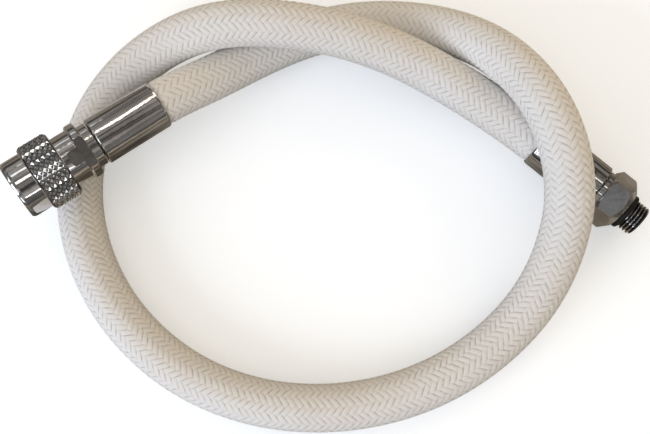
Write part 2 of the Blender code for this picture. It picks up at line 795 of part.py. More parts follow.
valve_spring = coil(
    "valve_spring",
    (PIN_RADIUS + VALVE_FRONT_BORE) / 2,
    VALVE_SPRING_WIRE,
    collar_start + PIN_COLLAR_THICKNESS,
    VALVE_SHOULDER,
    VALVE_SPRING_TURNS,
    8,
)
place(valve_spring, coupler_frame, steel("valve_spring"))


# The port fitting: thread, undercut for its sealing ring, hexagon, neck and tail in one piece.
# The hexagon's front face is recessed where the ring lies, so only its outer land meets the port.

port = turned(
    "port_fitting",
    [
        (THREAD_RADIUS - THREAD_CHAMFER, 0.0),
        (THREAD_RADIUS, THREAD_CHAMFER),
        (THREAD_RADIUS, THREAD_LENGTH - 0.6 * THREAD_CHAMFER),
        (THREAD_RADIUS - THREAD_CHAMFER, THREAD_LENGTH),
        (UNDERCUT_RADIUS, THREAD_LENGTH),
        (UNDERCUT_RADIUS, HEX_START + 0.14 * HEX_LENGTH),
        (PORT_NECK_RADIUS, HEX_START + 0.14 * HEX_LENGTH),
        (PORT_NECK_RADIUS, PORT_NECK_END),
    ]
    + hose_tail(PORT_NECK_END)
    + [
        (TAIL_BORE_RADIUS, HEX_END),
        (PORT_BORE_RADIUS, HEX_END),
        (PORT_BORE_RADIUS, SMALL_CHAMFER),
        (PORT_BORE_RADIUS + SMALL_CHAMFER, 0.0),
    ],
    28,
)
hex_bore = (PORT_BORE_RADIUS + UNDERCUT_RADIUS) / 2
hex_corner = HEX_ACROSS / math.sqrt(3)
hex_round = as_cutter(
    turned(
        "hex_chamfers",
        [
            (HEX_FRONT_RADIUS, HEX_START),
            (hex_corner + SEAL_CLEARANCE, HEX_START + HEX_FRONT_CHAMFER),
            (hex_corner + SEAL_CLEARANCE, HEX_END - HEX_BACK_CHAMFER),
            (HEX_BACK_RADIUS, HEX_END),
            (hex_bore, HEX_END),
            (hex_bore, HEX_START + SEAT_RECESS),
            (SEAT_RADIUS, HEX_START + SEAT_RECESS),
            (SEAT_RADIUS, HEX_START),
        ],
        36,
    ),
    port_frame,
)
bm = bmesh.new()
bmesh.ops.create_cone(
    bm,
    cap_ends=True,
    segments=6,
    radius1=hex_corner,
    radius2=hex_corner,
    depth=1.3 * HEX_LENGTH,
)
bmesh.ops.translate(bm, vec=(0.0, 0.0, -(HEX_START + HEX_END) / 2), verts=bm.verts)
hex_blank = as_cutter(from_bmesh("hex_blank", bm), port_frame)
boolean(hex_round, hex_blank, "INTERSECT")
boolean(port, hex_round, "UNION")
place(port, port_frame, chrome("port_fitting"))
settle(port)

port_ring = torus(
    "port_o_ring",
    UNDERCUT_RADIUS + CLEARANCE + PORT_RING_SECTION / 2,
    PORT_RING_SECTION,
    HEX_START + SEAT_RECESS - SEAL_CLEARANCE - PORT_RING_SECTION / 2,
)
place(port_ring, port_frame, rubber("port_o_ring"))
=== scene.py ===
# %% [markdown]
# # A braided regulator hose, dressed for its portrait
#
# The part is a white braided hose that lies in one open loop on a table. A
# knurled quick coupler is crimped on one end and a threaded port fitting on
# the other. Its solids are already built, and they are loaded here as a fixed
# frame. This lesson gives every surface its real detail: the weave of the
# jacket, the points of the knurl, the turns of the thread and the chrome.

# %% Load the frame
import json
import math

import bmesh
import bpy
import numpy as np
from mathutils import Matrix, Vector

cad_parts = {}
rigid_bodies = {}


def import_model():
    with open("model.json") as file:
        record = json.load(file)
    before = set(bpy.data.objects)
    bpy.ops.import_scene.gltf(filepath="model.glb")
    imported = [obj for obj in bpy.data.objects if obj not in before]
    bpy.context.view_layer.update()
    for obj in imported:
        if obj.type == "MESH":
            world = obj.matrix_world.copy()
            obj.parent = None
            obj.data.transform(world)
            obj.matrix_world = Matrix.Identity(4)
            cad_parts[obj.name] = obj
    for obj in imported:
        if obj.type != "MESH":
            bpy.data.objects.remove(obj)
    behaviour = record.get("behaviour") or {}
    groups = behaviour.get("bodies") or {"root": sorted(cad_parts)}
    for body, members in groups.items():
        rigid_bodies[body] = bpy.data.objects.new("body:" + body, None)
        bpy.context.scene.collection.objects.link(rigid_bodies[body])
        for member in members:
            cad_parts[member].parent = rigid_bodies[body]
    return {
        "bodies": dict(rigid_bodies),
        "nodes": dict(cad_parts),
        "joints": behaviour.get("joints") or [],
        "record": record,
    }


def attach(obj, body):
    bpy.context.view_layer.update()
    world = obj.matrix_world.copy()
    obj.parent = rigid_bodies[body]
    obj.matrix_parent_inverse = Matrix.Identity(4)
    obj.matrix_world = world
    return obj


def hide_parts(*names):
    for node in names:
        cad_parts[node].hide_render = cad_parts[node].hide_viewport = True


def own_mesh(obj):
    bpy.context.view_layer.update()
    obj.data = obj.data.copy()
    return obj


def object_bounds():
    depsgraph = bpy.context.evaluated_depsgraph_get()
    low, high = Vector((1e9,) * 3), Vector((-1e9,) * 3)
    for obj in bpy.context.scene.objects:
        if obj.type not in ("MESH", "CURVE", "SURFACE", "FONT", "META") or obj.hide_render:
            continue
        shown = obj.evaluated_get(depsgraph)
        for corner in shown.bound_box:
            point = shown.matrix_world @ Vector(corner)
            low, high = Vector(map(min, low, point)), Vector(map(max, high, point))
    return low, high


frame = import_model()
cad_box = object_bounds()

scene = bpy.context.scene

# %% [markdown]
# ## Camera
#
# The photograph was taken from nearly straight above, with the camera leaning
# back a little from the near side of the loop. A camera's rotation can be typed
# as angles, or worked out from where it looks and which way is up. The second
# way is used, because both directions can be read off the picture.

# %% Camera
camera_place = Vector((0.01613, -0.06313, 0.25910))
camera_looks = Vector((-0.0674, 0.1822, -0.9809)).normalized()
camera_right = camera_looks.cross(Vector((0.0125, 0.9833, 0.1818))).normalized()
camera_up = camera_right.cross(camera_looks)

camera = bpy.data.objects.new("camera", bpy.data.cameras.new("camera"))
camera.data.lens = 47.08
camera.data.sensor_width = 36.0
camera.data.sensor_fit = "HORIZONTAL"
camera.data.clip_start = 0.005
camera.location = camera_place
camera.rotation_euler = Matrix((camera_right, camera_up, -camera_looks)).transposed().to_euler()
scene.collection.objects.link(camera)
scene.camera = camera
print("camera leans", round(math.degrees(camera_looks.angle(Vector((0, 0, -1)))), 1), "degrees")

# %% [markdown]
# ## Short names for nodes
#
# Every look in Blender is a small network of nodes: one reads a place, another
# makes noise from it, a third turns the noise into a colour. The floor, the
# room and every material are built from the same few, so a small class gives
# them short names. What can be joined to a node can also be a plain value.

# %% Node helpers


class Nodes:
    """The nodes of a material or a world, with short ways to add and join them."""

    def __init__(self, owner):
        owner.use_nodes = True
        self.owner = owner
        self.tree = owner.node_tree
        self.shader = self.tree.nodes.get("Principled BSDF")

    def add(self, kind, links=(), **settings):
        node = self.tree.nodes.new("ShaderNode" + kind)
        for key, value in settings.items():
            setattr(node, key, value)
        for slot, value in dict(links).items():
            self.join(value, node.inputs[slot])
        return node

    def join(self, value, socket):
        if isinstance(value, bpy.types.NodeSocket):
            self.tree.links.new(value, socket)
        else:
            socket.default_value = value

    def math(self, operation, first, second=0.0, clamp=False):
        node = self.add("Math", {0: first, 1: second}, operation=operation, use_clamp=clamp)
        return node.outputs[0]

    def mix(self, factor, first, second):
        node = self.add("Mix", data_type="RGBA")
        for slot, value in ((0, factor), (6, first), (7, second)):
            self.join(value, node.inputs[slot])
        return node.outputs[2]

    def noise(self, vector, scale, detail=2.0, roughness=0.5):
        settings = {"Vector": vector, "Scale": scale, "Detail": detail, "Roughness": roughness}
        return self.add("TexNoise", settings).outputs["Fac"]

    def ramp(self, value, low, high, first=0.0, second=1.0, smooth=False):
        kind = "SMOOTHSTEP" if smooth else "LINEAR"
        ends = {1: low, 2: high, 3: first, 4: second}
        return self.add("MapRange", {0: value, **ends}, interpolation_type=kind).outputs[0]

    def bump(self, height, distance, strength=1.0):
        node = self.add("Bump", {"Height": height, "Distance": distance, "Strength": strength})
        self.join(node.outputs["Normal"], self.shader.inputs["Normal"])

    def surface(self, **values):
        """Sets the shader's sockets by name, such as base_color for Base Color."""
        for key, value in values.items():
            self.join(value, self.shader.inputs[key.replace("_", " ").title().replace("Ior", "IOR")])


# %% [markdown]
# ## Floor and light
#
# The picture has a plain white ground and soft daylight. The daylight comes from
# the lower left and is a little blue, and the room answers from the upper right
# with warmer, weaker light. The ground looks whiter to the camera than the
# light it throws back on the object, as in a picture whose ground was bleached,
# so its paint has two values. A white hose needs light from all round, but
# chrome needs something dark to mirror, so the room also has two values: bright
# for everything that scatters light, and dim for everything that mirrors it.

# %% Floor
floor_bm = bmesh.new()
bmesh.ops.create_grid(floor_bm, x_segments=1, y_segments=1, size=3.0)
floor_mesh = bpy.data.meshes.new("floor")
floor_bm.to_mesh(floor_mesh)
floor_bm.free()
floor = bpy.data.objects.new("floor", floor_mesh)
floor.location.z = min(cad_box[0][2], 0.0)
scene.collection.objects.link(floor)

paper = Nodes(bpy.data.materials.new("pale_paper"))
seen = paper.add("LightPath").outputs["Is Camera Ray"]
patches = paper.noise(paper.add("TexCoord").outputs["Object"], 16.0, 3.0, 0.6)
thrown_back = paper.mix(paper.ramp(patches, 0.42, 0.60), (0.12, 0.112, 0.10, 1.0), (0.48, 0.455, 0.41, 1.0))
paper.surface(
    base_color=paper.mix(seen, thrown_back, (0.91, 0.94, 0.97, 1.0)),
    roughness=0.9,
    specular_ior_level=0.1,
    emission_color=(0.92, 0.96, 1.0, 1.0),
    emission_strength=paper.math("MULTIPLY", seen, 0.36),
)
floor_mesh.materials.append(paper.owner)

# %% Lights


def soft_light(name, place, target, width, height, glow, colour):
    """An area light that faces a target. Its glow is how bright its face looks."""
    data = bpy.data.lights.new(name, "AREA")
    data.shape = "RECTANGLE"
    data.size, data.size_y = width, height
    data.energy = glow * width * height * math.pi
    data.color = colour
    lamp = bpy.data.objects.new(name, data)
    lamp.location = place
    lamp.rotation_euler = (Vector(target) - Vector(place)).to_track_quat("-Z", "Y").to_euler()
    scene.collection.objects.link(lamp)
    return lamp


daylight = soft_light("daylight", (-0.68, -0.56, 0.40), (0, 0, 0), 0.55, 0.42, 6.6, (0.76, 0.82, 0.94))
room_light = soft_light("room", (0.55, 0.55, 0.50), (0, 0, 0), 0.5, 0.3, 1.7, (1.0, 0.84, 0.64))
for lamp in (daylight, room_light):
    lamp.visible_glossy = False
window = soft_light("window", (-0.62, -0.50, 0.55), (0, 0, 0), 0.55, 0.45, 4.0, (0.90, 0.95, 1.0))
window.visible_diffuse = False

# %% Room
room = Nodes(bpy.data.worlds.new("room"))
room.tree.nodes.clear()
scene.world = room.owner
looking = room.add("TexCoord").outputs["Generated"]
height_seen = room.add("SeparateXYZ", {0: looking}).outputs[2]
WARM_SIDE = (0.75, 0.66, 0.0)
to_warm_side = room.add("VectorMath", {0: looking, 1: WARM_SIDE}, operation="DOT_PRODUCT").outputs["Value"]
warmth = room.ramp(to_warm_side, -0.4, 0.4, smooth=True)

day = room.mix(warmth, (0.86, 0.85, 0.86, 1.0), (0.93, 0.76, 0.54, 1.0))
lit = room.add("Background", {"Color": day, "Strength": room.ramp(height_seen, 0.0, 1.0, 1.0, 0.55)})

wall = room.ramp(height_seen, 0.05, 0.34, 0.05, 0.19, smooth=True)
uneven = room.ramp(room.noise(looking, 3.2, 3.0, 0.6), 0.38, 0.68, 0.25, 2.6)
tint = room.mix(warmth, (0.94, 0.98, 1.04, 1.0), (1.06, 0.96, 0.87, 1.0))
mirrored = room.add("Background", {"Color": tint, "Strength": room.math("MULTIPLY", wall, uneven)})

is_mirrored = room.add("LightPath").outputs["Is Glossy Ray"]
either = room.add("MixShader", {0: is_mirrored, 1: lit.outputs[0], 2: mirrored.outputs[0]})
room.add("OutputWorld", {0: either.outputs[0]})
scene.view_settings.view_transform = "Standard"

# %% [markdown]
# ## The hose's centre line
#
# The hose leaves the coupler's ferrule, dips to the table, climbs over its own
# other end, runs round the loop on the table and climbs once more over the
# coupler's side before it dives into the port's ferrule. A stiff hose bends
# evenly, so its centre is one smooth curve through a few points. Blender could
# draw that curve with handles, but the same cubic is worked out here, because
# the weave needs to know the curve's direction at every point.

# %% Route
ROUTE = (
    (-0.0504, 0.0164, 0.0189), (-0.0361, 0.0260, 0.0134), (-0.0216, 0.0354, 0.0084),
    (-0.0051, 0.0425, 0.0070), (0.0127, 0.0451, 0.0073), (0.0304, 0.0425, 0.0098),
    (0.0457, 0.0348, 0.0151), (0.0571, 0.0224, 0.0215), (0.0648, 0.0066, 0.0254),
    (0.0685, -0.0106, 0.0226), (0.0665, -0.0272, 0.0159), (0.0590, -0.0425, 0.0101),
    (0.0467, -0.0553, 0.0074), (0.0314, -0.0649, 0.0070), (0.0143, -0.0707, 0.0070),
    (-0.0036, -0.0727, 0.0070), (-0.0215, -0.0708, 0.0070), (-0.0385, -0.0648, 0.0070),
    (-0.0535, -0.0548, 0.0070), (-0.0656, -0.0414, 0.0070), (-0.0738, -0.0254, 0.0070),
    (-0.0774, -0.0077, 0.0070), (-0.0753, 0.0101, 0.0075), (-0.0661, 0.0252, 0.0105),
    (-0.0520, 0.0350, 0.0157), (-0.0353, 0.0397, 0.0206), (-0.0174, 0.0399, 0.0221),
    (0.0004, 0.0376, 0.0201), (0.0175, 0.0330, 0.0164), (0.0335, 0.0255, 0.0131),
    (0.0487, 0.0158, 0.0114), (0.0630, 0.0047, 0.0107),
)
MM = 0.001
HOSE_RADIUS = 0.0070
CRIMP, PRESS_START, PRESS_LENGTH = 0.0008, 0.0005, 0.0022
TAIL_IN_FERRULE, TAIL_STEPS = 0.0175, 18
ROUTE_STEP = 0.001
COUPLER_LENGTH, PORT_LENGTH = 48.1, 37.0


def fitting_frame(mouth, heading, rise, roll, length):
    """The place of a fitting: its free end at the origin, and +Z out of that end."""
    turn = Matrix.Rotation(math.radians(heading), 4, "Z")
    turn = turn @ Matrix.Rotation(math.radians(90.0 - rise), 4, "Y")
    turn = turn @ Matrix.Rotation(math.radians(180.0 + roll), 4, "Z")
    return Matrix.Translation(Vector(mouth) + turn.col[2].to_3d() * length) @ turn


coupler_frame = fitting_frame(ROUTE[0], 216.5, 10.6, -23.5, COUPLER_LENGTH * MM)
port_frame = fitting_frame(ROUTE[-1], -40.5, -4.2, 13.9, PORT_LENGTH * MM)
coupler_axis = np.array(coupler_frame.col[2])[:3]
port_axis = np.array(port_frame.col[2])[:3]


def smooth_route(points, first_direction, last_direction, step):
    """Points at small even steps on the smooth curve through the given points."""
    points = np.array(points)
    gaps = np.linalg.norm(np.diff(points, axis=0), axis=1)
    count = len(points)
    rows, right = np.eye(count), np.zeros((count, 3))
    right[0], right[-1] = first_direction, last_direction
    for i in range(1, count - 1):
        before, after = 1 / gaps[i - 1], 1 / gaps[i]
        rows[i, i - 1:i + 2] = before, 2 * (before + after), after
        rise_before, rise_after = points[i] - points[i - 1], points[i + 1] - points[i]
        right[i] = 3 * (before**2 * rise_before + after**2 * rise_after)
    slopes = np.linalg.solve(rows, right)
    starts = np.concatenate([[0.0], np.cumsum(gaps)])
    at = np.linspace(0.0, starts[-1], round(starts[-1] / step) + 1)
    i = np.clip(np.searchsorted(starts, at, side="right") - 1, 0, count - 2)
    t = ((at - starts[i]) / gaps[i])[:, None]
    gap = gaps[i][:, None]
    return (
        (2 * t**3 - 3 * t**2 + 1) * points[i] + (t**3 - 2 * t**2 + t) * gap * slopes[i]
        + (3 * t**2 - 2 * t**3) * points[i + 1] + (t**3 - t**2) * gap * slopes[i + 1]
    )


loop = smooth_route(ROUTE, -coupler_axis, port_axis, ROUTE_STEP)
deep = np.linspace(TAIL_IN_FERRULE, 0.0, TAIL_STEPS, endpoint=False)[:, None]
line = np.concatenate([loop[0] + deep * coupler_axis, loop, (loop[-1] + deep * port_axis)[::-1]])
along = np.concatenate([[0.0], np.cumsum(np.linalg.norm(np.diff(line, axis=0), axis=1))])
mouths = along[TAIL_STEPS], along[-TAIL_STEPS - 1]
print("hose:", round(along[-1] / MM), "mm, of which", round((mouths[1] - mouths[0]) / MM), "mm shows")

# %% Directions round the hose
tangent = np.gradient(line, along, axis=0)
tangent /= np.linalg.norm(tangent, axis=1)[:, None]
sideways = np.empty_like(line)
sideways[0] = np.cross(tangent[0], (0, 0, 1))
for i in range(1, len(line)):
    sideways[i] = sideways[i - 1] - tangent[i] * (sideways[i - 1] @ tangent[i])
    sideways[i] /= np.linalg.norm(sideways[i])
upward = np.cross(sideways, tangent)


def squeezed(at):
    """How far the crimped ferrules press the jacket in, at a place along the hose."""
    outside = np.minimum(at - mouths[0], mouths[1] - at)
    recovered = np.clip((outside + PRESS_START) / PRESS_LENGTH, 0, 1) ** 0.6
    return CRIMP * (1 - recovered)


def on_hose(at, angle, radius):
    """Points at a place along the hose, an angle round it and a radius from its centre."""
    centre, side, up = (
        np.stack([np.interp(at, along, table[:, k]) for k in range(3)], axis=1)
        for table in (line, sideways, upward)
    )
    reach = (radius - squeezed(at))[:, None]
    return centre + reach * (side * np.cos(angle)[:, None] + up * np.sin(angle)[:, None])


# %% [markdown]
# ## The hose under its jacket
#
# Under the braid the real hose has a smooth tube. It shows only in the little gaps
# between the threads, and its grey is painted shade, the shade that falls in those
# gaps. A bevelled curve is the plainest way to make a tube that follows a line,
# and this one runs the hose's whole length, just inside the jacket.

# %% Inner tube
JACKET_WALL = 0.0005
EVERY = 3
tube_data = bpy.data.curves.new("hose_tube", "CURVE")
tube_data.dimensions = "3D"
tube_data.bevel_depth = HOSE_RADIUS - JACKET_WALL
tube_data.bevel_resolution = 6
tube_data.use_fill_caps = True
spline = tube_data.splines.new("POLY")
picked = sorted({*range(0, len(line), EVERY), len(line) - 1})
spline.points.add(len(picked) - 1)
for point, place, press in zip(spline.points, line[picked], squeezed(along[picked])):
    point.co = (*place, 1.0)
    point.radius = 1 - press / tube_data.bevel_depth
hose_tube = bpy.data.objects.new("hose_tube", tube_data)
scene.collection.objects.link(hose_tube)
print("inner tube:", len(picked), "points")

# %% [markdown]
# ## The braid
#
# A braiding machine lays sixteen flat strands one way round the hose and sixteen
# the other way, and each strand goes over two others and then under two. That
# gives the little herringbone rows. A bump map could fake it, but from the side
# the outline would stay smooth, so every strand is a real ribbon. Each one
# starts as a plain flat grid, and its points are then laid on the hose: their
# first coordinate runs along the strand and their second across it.

# %% Strands
CARRIERS = 16
TURN_LENGTH = 0.0336
STRAND_HALF_WIDTH = 0.00081
STRAND_RADIUS = 0.00672
STRAND_WAVE = 0.00013
STRAND_CROWN = 0.00012
ROWS_PER_CROSSING = 3
TUCKED_IN = 0.003
TWIST_OFFSET = 37.0
crossing = TURN_LENGTH / CARRIERS / 2
slant = math.atan(2 * math.pi * HOSE_RADIUS / TURN_LENGTH)
first_row, last_row = mouths[0] - TUCKED_IN, mouths[1] + TUCKED_IN
row_count = round((last_row - first_row) / crossing * ROWS_PER_CROSSING)


def weave_height(beat, strand, way):
    """How high a strand lies, from -1 under two others to 1 over two, after a number of crossings."""
    phase = beat + 2 * strand - 0.5 if way > 0 else 2 * strand - beat - 2.5
    wave = np.cos(math.pi / 2 * phase)
    return np.clip(1.35 * wave, -1, 1) * (1.2 - 0.2 * np.abs(wave))


def strands(name, way):
    """The ribbons that run one way round the hose, with a map along and across each ribbon."""
    bm = bmesh.new()
    for number in range(CARRIERS):
        made = bmesh.ops.create_grid(bm, x_segments=row_count, y_segments=3, size=1.0)
        bmesh.ops.translate(bm, vec=(0, 0, number), verts=made["verts"])
    mesh = bpy.data.meshes.new(name)
    bm.to_mesh(mesh)
    bm.free()

    flat = np.empty(len(mesh.vertices) * 3)
    mesh.vertices.foreach_get("co", flat)
    share, across, strand = flat.reshape(-1, 3).T
    middle = first_row + (share + 1) / 2 * (last_row - first_row)
    wave = weave_height(middle / crossing, strand, way)
    shift = across * STRAND_HALF_WIDTH
    at = middle - way * shift * math.sin(slant)
    turn = 2 * math.pi * (strand / CARRIERS + way * middle / TURN_LENGTH)
    turn = turn + shift * math.cos(slant) / HOSE_RADIUS
    radius = STRAND_RADIUS + STRAND_WAVE * wave + STRAND_CROWN * (1 - across**2)
    mesh.vertices.foreach_set("co", on_hose(at, turn, radius).ravel())

    corner = np.empty(len(mesh.loops), dtype=np.int32)
    mesh.loops.foreach_get("vertex_index", corner)
    lengthwise = middle / math.cos(slant) / (2 * STRAND_HALF_WIDTH) + TWIST_OFFSET * strand
    thread_map = np.stack([lengthwise[corner], (across[corner] + 1) / 2], axis=1)
    mesh.uv_layers.new(name="strand").data.foreach_set("uv", thread_map.ravel())
    # How high each point lies in the weave, lower towards a strand's edges. The jacket material paints shade
    # into the low places from it.
    high = mesh.attributes.new("high", "FLOAT", "POINT")
    high.data.foreach_set("value", (wave / 2 + 0.5) * (1 - 0.6 * across**2))
    mesh.update()

    outward = bmesh.new()
    outward.from_mesh(mesh)
    outward.faces.ensure_lookup_table()
    face = outward.faces[len(outward.faces) // 2]
    middle_of_face = face.calc_center_median()
    near = int(np.argmin(np.linalg.norm(line - np.array(middle_of_face), axis=1)))
    if face.normal.dot(middle_of_face - Vector(line[near])) < 0:
        bmesh.ops.reverse_faces(outward, faces=outward.faces)
    outward.to_mesh(mesh)
    outward.free()
    mesh.shade_smooth()
    piece = bpy.data.objects.new(name, mesh)
    scene.collection.objects.link(piece)
    print(name + ":", CARRIERS, "ribbons,", 2 * len(mesh.polygons), "triangles")
    return piece


strands_right = strands("braid_right_hand", 1)
strands_left = strands("braid_left_hand", -1)

# %% [markdown]
# ## Thread and shade in the jacket
#
# Each strand is a bundle of white polyester threads. Close up they show as fine
# lines along the strand. Shade is painted into the colour where a strand dips
# under others and along each strand's edges, where the gaps between strands are.
# The pattern has to run along every strand, wherever it goes, so the material
# reads the strand's own map: across it for the threads, along it for their twist.
# The height that the strand has in the weave sets the painted shade in the dips.

# %% Jacket material
THREADS = 5
jacket = Nodes(bpy.data.materials.new("white_jacket"))
strand_map = jacket.add("UVMap", uv_map="strand").outputs[0]
apart = jacket.add("SeparateXYZ", {0: strand_map})
run, cross = apart.outputs[0], apart.outputs[1]
across_threads = jacket.math("MULTIPLY", cross, THREADS * 2 * math.pi)
threads = jacket.math("MULTIPLY", jacket.math("SINE", across_threads), 0.7)
along_twist = jacket.math("ADD", jacket.math("MULTIPLY", run, 16.0), jacket.math("MULTIPLY", cross, 30.0))
twist = jacket.math("MULTIPLY", jacket.math("SINE", along_twist), 0.3)
jacket.bump(jacket.math("ADD", threads, twist), 0.00005)

places = jacket.add("TexCoord").outputs["Object"]
soiling = jacket.ramp(jacket.noise(places, 45.0, 3.0), 0.35, 0.70)
fuzz = jacket.noise(places, 2600.0)
# Painted shade along each strand's edges, where the gaps between strands are.
from_middle = jacket.math("ABSOLUTE", jacket.math("SUBTRACT", cross, 0.5))
edge = jacket.ramp(from_middle, 0.34, 0.50)
# Painted shade in the dips, where a strand lies low under others.
painted_dip_shade = jacket.ramp(jacket.add("Attribute", attribute_name="high").outputs["Fac"], 0.55, 0.0)
shade = jacket.math("MAXIMUM", edge, jacket.math("MULTIPLY", painted_dip_shade, 0.6), clamp=True)
# The painted shade is patchy, and it mixes the colour towards a brown grey.
irregular = jacket.ramp(jacket.noise(places, 620.0, 1.0), 0.38, 0.62, 0.20, 0.62)
clean = jacket.mix(soiling, (0.94, 0.94, 0.93, 1.0), (0.92, 0.90, 0.87, 1.0))
fuzzy = jacket.mix(jacket.math("MULTIPLY", fuzz, 0.26), clean, (0.76, 0.74, 0.71, 1.0))
jacket.surface(
    base_color=jacket.mix(jacket.math("MULTIPLY", shade, irregular), fuzzy, (0.42, 0.38, 0.34, 1.0)),
    roughness=jacket.ramp(fuzz, 0.3, 0.7, 0.62, 0.82),
    sheen_weight=0.12,
    sheen_roughness=0.5,
    specular_ior_level=0.3,
)

under = Nodes(bpy.data.materials.new("inner_tube"))
under_noise = under.noise(under.add("TexCoord").outputs["Object"], 900.0, 3.0)
under.bump(under_noise, 0.00002)
# Painted shade: the tube's grey stands for the shade that falls in the gaps between the strands.
tube_painted_shade = under.mix(under_noise, (0.66, 0.63, 0.58, 1.0), (0.54, 0.51, 0.46, 1.0))
under.surface(base_color=tube_painted_shade, roughness=0.8)

for piece in (strands_right, strands_left):
    piece.data.materials.append(jacket.owner)
hose_tube.data.materials.append(under.owner)
for piece in (hose_tube, strands_right, strands_left):
    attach(piece, "hose")
    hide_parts("braided_hose")
print("jacket:", len(jacket.tree.nodes), "nodes")

# %% [markdown]
# ## Chrome
#
# The fittings are brass, turned on a lathe, polished and chrome plated. Chrome
# has almost no colour of its own: it is a mirror, and what makes it look real
# is what it mirrors and how slightly uneven it is. So the colour stays grey, and
# the detail goes into three small things: the rings that turning left, long
# shallow waves from polishing, and a haze of fine wear in the roughness.

# %% Metals


def in_fitting(nodes, frame, stretch):
    """Coordinates in a fitting's own frame, plain and stretched, so that a pattern follows its axis."""
    back = frame.inverted()
    own = nodes.add("Mapping", {
        "Vector": nodes.add("TexCoord").outputs["Object"],
        "Location": back.to_translation(),
        "Rotation": back.to_euler(),
    }).outputs[0]
    pulled = nodes.add("Mapping", {"Vector": own, "Scale": stretch}).outputs[0]
    return own, pulled


def metal(name, frame, bright, dull, roughness, rings, waves, grooves=None):
    """A metal: its two tones, its range of roughness, and how strong the turning rings and long waves are.

    Grooves are the two radii in millimetres across which painted shade fades from the colour: below the first
    it is a near black that stands for the shade in the grooves.
    """
    nodes = Nodes(bpy.data.materials.new(name))
    own, pulled = in_fitting(nodes, frame, (30.0, 30.0, 5200.0))
    turning = nodes.noise(pulled, 1.0, 3.0, 0.6)
    long_wave = nodes.noise(own, 380.0, 1.5)
    haze = nodes.noise(own, 700.0, 4.0, 0.6)
    rubbed = nodes.ramp(nodes.noise(own, 120.0), 0.42, 0.68)
    ring_height, wave_height = nodes.math("MULTIPLY", turning, rings), nodes.math("MULTIPLY", long_wave, waves)
    nodes.bump(nodes.math("ADD", ring_height, wave_height), 0.0001)
    worn = nodes.math("MULTIPLY", nodes.math("MULTIPLY", haze, rubbed), 1.2, clamp=True)
    colour = nodes.mix(worn, (*bright, 1.0), (*dull, 1.0))
    # Painted shade: the colour darkens to near black towards the bottom of the grooves.
    if grooves:
        flat = nodes.add("VectorMath", {0: own, 1: (1.0, 1.0, 0.0)}, operation="MULTIPLY").outputs[0]
        radius = nodes.add("VectorMath", {0: flat}, operation="LENGTH").outputs["Value"]
        depth = nodes.ramp(radius, grooves[0] * MM, grooves[1] * MM)
        colour = nodes.mix(depth, (0.07, 0.065, 0.06, 1.0), colour)
    nodes.surface(base_color=colour, roughness=nodes.ramp(haze, 0.3, 0.75, *roughness), metallic=1.0)
    return nodes.owner


CHROME, WORN_CHROME, POLISHED = (0.66, 0.65, 0.64), (0.50, 0.49, 0.47), (0.05, 0.13)
KNURL_DULL, THREAD_DULL = (0.42, 0.41, 0.39), (0.38, 0.37, 0.35)
STEEL, WORN_STEEL = (0.52, 0.51, 0.50), (0.38, 0.37, 0.36)
BRASS, WORN_BRASS = (0.72, 0.52, 0.22), (0.45, 0.30, 0.13)
coupler_chrome = metal("coupler_chrome", coupler_frame, CHROME, WORN_CHROME, POLISHED, 0.02, 0.35)
port_chrome = metal("port_chrome", port_frame, CHROME, WORN_CHROME, POLISHED, 0.02, 0.35)
# The knurl and the thread get painted shade in their grooves.
knurl_chrome = metal("knurl_chrome", coupler_frame, CHROME, KNURL_DULL, (0.06, 0.15), 0.0, 0.1, (9.75, 10.1))
thread_chrome = metal("thread_chrome", port_frame, CHROME, THREAD_DULL, (0.08, 0.20), 0.0, 0.1, (4.25, 4.65))
ring_steel = metal("ring_steel", coupler_frame, STEEL, WORN_STEEL, (0.18, 0.34), 0.05, 0.1)
valve_brass = metal("valve_brass", coupler_frame, BRASS, WORN_BRASS, (0.18, 0.36), 0.06, 0.1)
print("metals: 6")

# %% [markdown]
# ## Streaks in the chrome
#
# Each bright streak on a turned surface is a lamp or a window that it mirrors.
# The long one on the coupler's ferrule comes from four panes in a row. A streak
# can be followed back: from the camera to the place where it shows, then on
# along the mirrored ray, and there hangs the lamp. Its long side lies along the
# fitting, and it is left out of the light that scatters, so that it changes
# nothing but the mirrors.

# %% Streaks
STREAK_DISTANCE = 0.8
PALE, BLUISH, WARM = (1.0, 0.98, 0.95), (0.94, 0.97, 1.0), (1.0, 0.94, 0.83)
FERRULE_RADIUS, FERRULE_LENGTH, NOSE_RADIUS = 7.30, 21.5, 8.85


def streak(name, fitting, radius, back, angle, long_side, short_side, glow, colour=PALE):
    """A lamp that the camera sees mirrored at one place on a fitting."""
    turn = math.radians(angle)
    axis = fitting.col[2].to_3d().normalized()
    normal = (fitting.to_3x3() @ Vector((math.cos(turn), math.sin(turn), 0.0))).normalized()
    spot = fitting @ Vector((radius * MM * math.cos(turn), radius * MM * math.sin(turn), -back * MM))
    ray = (spot - camera_place).normalized().reflect(normal)
    lamp = soft_light(name, spot + ray * STREAK_DISTANCE, spot, long_side, short_side, glow, colour)
    lengthwise = (axis - ray * axis.dot(ray)).normalized()
    lamp.rotation_euler = Matrix((lengthwise, ray.cross(lengthwise), ray)).transposed().to_euler()
    lamp.visible_diffuse = False


